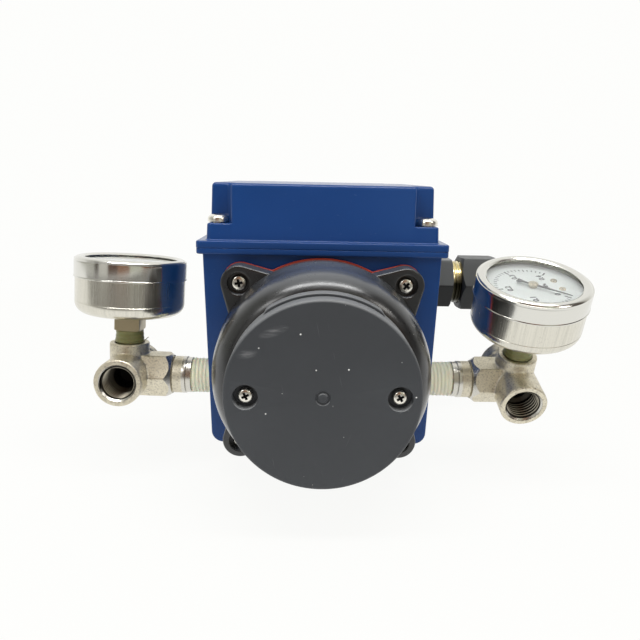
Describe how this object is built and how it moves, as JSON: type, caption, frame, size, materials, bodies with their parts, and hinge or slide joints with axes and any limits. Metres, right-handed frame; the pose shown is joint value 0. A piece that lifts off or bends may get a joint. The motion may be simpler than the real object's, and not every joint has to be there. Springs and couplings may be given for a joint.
{
  "type": "valve positioner",
  "caption": "Pneumatic valve positioner: blue cast housing and cover, round black pilot valve, side tees with pressure gauges, cable gland and rear feedback shaft.",
  "frame": {"origin": "on the feedback shaft's axis, in the plane of the housing's back face", "axes": "+X from the left tee to the right tee and the gland, +Y away from the pilot valve, +Z from the back face out of the cover"},
  "size_m": [0.1926, 0.1412, 0.1118],
  "materials": {
    "blue_paint": "satin powder coat on cast aluminium",
    "black_plastic": "satin moulded plastic",
    "red_silicone": "silicone sheet",
    "black_rubber": "matt",
    "bright_steel": "polished stainless steel",
    "plain_steel": "turned steel",
    "cast_steel": "investment-cast stainless steel",
    "brass": "turned brass",
    "white_enamel": "white dial enamel",
    "clear_window": "clear",
    "black_paint": "black enamel",
    "copper_winding": "enamelled winding",
    "soft_iron": "blackened iron",
    "grey_plastic": "moulded"
  },
  "bodies": {
    "housing": {"body_housing": "blue_paint", "front_cover": "blue_paint", "cover_seal": "black_rubber", "cover_screw_1": "bright_steel", "cover_screw_2": "bright_steel", "cover_screw_3": "bright_steel", "cover_screw_4": "bright_steel", "pilot_gasket": "red_silicone", "pilot_housing": "black_plastic", "pilot_screw_1": "bright_steel", "pilot_screw_2": "bright_steel", "pilot_screw_3": "bright_steel", "pilot_screw_4": "bright_steel", "pilot_cap": "black_plastic", "cap_screw_1": "bright_steel", "cap_screw_2": "bright_steel", "pilot_sleeve": "plain_steel", "pilot_diaphragm": "black_rubber", "left_tee": "cast_steel", "right_tee": "cast_steel", "left_gauge_stem": "brass", "left_gauge_case": "bright_steel", "left_gauge_bezel": "bright_steel", "left_gauge_window": "clear_window", "left_gauge_dial": "white_enamel", "left_gauge_movement": "brass", "right_gauge_stem": "brass", "right_gauge_case": "bright_steel", "right_gauge_bezel": "bright_steel", "right_gauge_window": "clear_window", "right_gauge_dial": "white_enamel", "right_gauge_movement": "brass", "gland_adaptor": "black_plastic", "gland_body": "brass", "gland_seal": "black_rubber", "gland_nut": "black_plastic", "lower_shaft_bush": "brass", "upper_shaft_bush": "brass", "follower_pivot_pin": "plain_steel", "beam_pivot_pin": "plain_steel", "torque_motor_yoke": "soft_iron", "torque_motor_coil": "copper_winding", "nozzle": "brass", "terminal_block": "grey_plastic", "earth_screw": "brass"},
    "shaft": {"feedback_shaft": "plain_steel", "shaft_circlip": "plain_steel", "feedback_cam": "plain_steel", "cam_nut": "plain_steel"},
    "lever": {"follower_lever": "plain_steel", "range_spring": "plain_steel"},
    "roller": {"follower_roller": "brass"},
    "beam": {"balance_beam": "soft_iron"},
    "spool": {"pilot_spool": "plain_steel", "spool_spring": "plain_steel"},
    "zero": {"zero_knob": "black_plastic"},
    "span": {"span_knob": "black_plastic"},
    "selector": {"auto_manual_screw": "brass"},
    "left_pointer": {"left_gauge_pointer": "black_paint"},
    "right_pointer": {"right_gauge_pointer": "black_paint"}
  },
  "joints": [
    {"name": "shaft_turn", "type": "hinge", "parent": "housing", "child": "shaft", "pos_m": [0, 0, 0], "axis": [0, 0, 1], "range_deg": [0, 90]},
    {"name": "lever_swing", "type": "hinge", "parent": "housing", "child": "lever", "pos_m": [-0.02402, 0.02998, 0.0256], "axis": [0, 0, 1], "range_deg": [-12.1, 0.1], "deforming": ["range_spring"]},
    {"name": "roller_spin", "type": "hinge", "parent": "lever", "child": "roller", "pos_m": [-0.017, 0.001, 0.0236], "axis": [0, 0, 1], "continuous": true},
    {"name": "beam_tilt", "type": "hinge", "parent": "housing", "child": "beam", "pos_m": [0.017, 0.005, 0.0256], "axis": [0, 0, 1], "range_deg": [-1, 1]},
    {"name": "spool_slide", "type": "slide", "parent": "housing", "child": "spool", "axis": [0, -1, 0], "range_m": [-0.0012, 0.0012], "deforming": ["spool_spring"]},
    {"name": "zero_turn", "type": "hinge", "parent": "housing", "child": "zero", "pos_m": [-0.014, -0.035, 0.0742], "axis": [0, 0, 1], "continuous": true},
    {"name": "span_turn", "type": "hinge", "parent": "housing", "child": "span", "pos_m": [0.014, -0.035, 0.0742], "axis": [0, 0, 1], "continuous": true},
    {"name": "selector_turn", "type": "hinge", "parent": "housing", "child": "selector", "pos_m": [0, -0.035, 0.0742], "axis": [0, 0, 1], "range_deg": [0, 90]},
    {"name": "left_pointer_turn", "type": "hinge", "parent": "housing", "child": "left_pointer", "pos_m": [-0.07302, -0.0304, 0.06381], "axis": [-0.054, -0.0628, -0.9966], "range_deg": [0, 270]},
    {"name": "right_pointer_turn", "type": "hinge", "parent": "housing", "child": "right_pointer", "pos_m": [0.0772, -0.04566, 0.06112], "axis": [0, 0.3057, -0.9521], "range_deg": [0, 270]}
  ],
  "couplings": [
    {"joint": "lever_swing", "follows": "shaft_turn", "ratio": -0.13333}
  ]
}
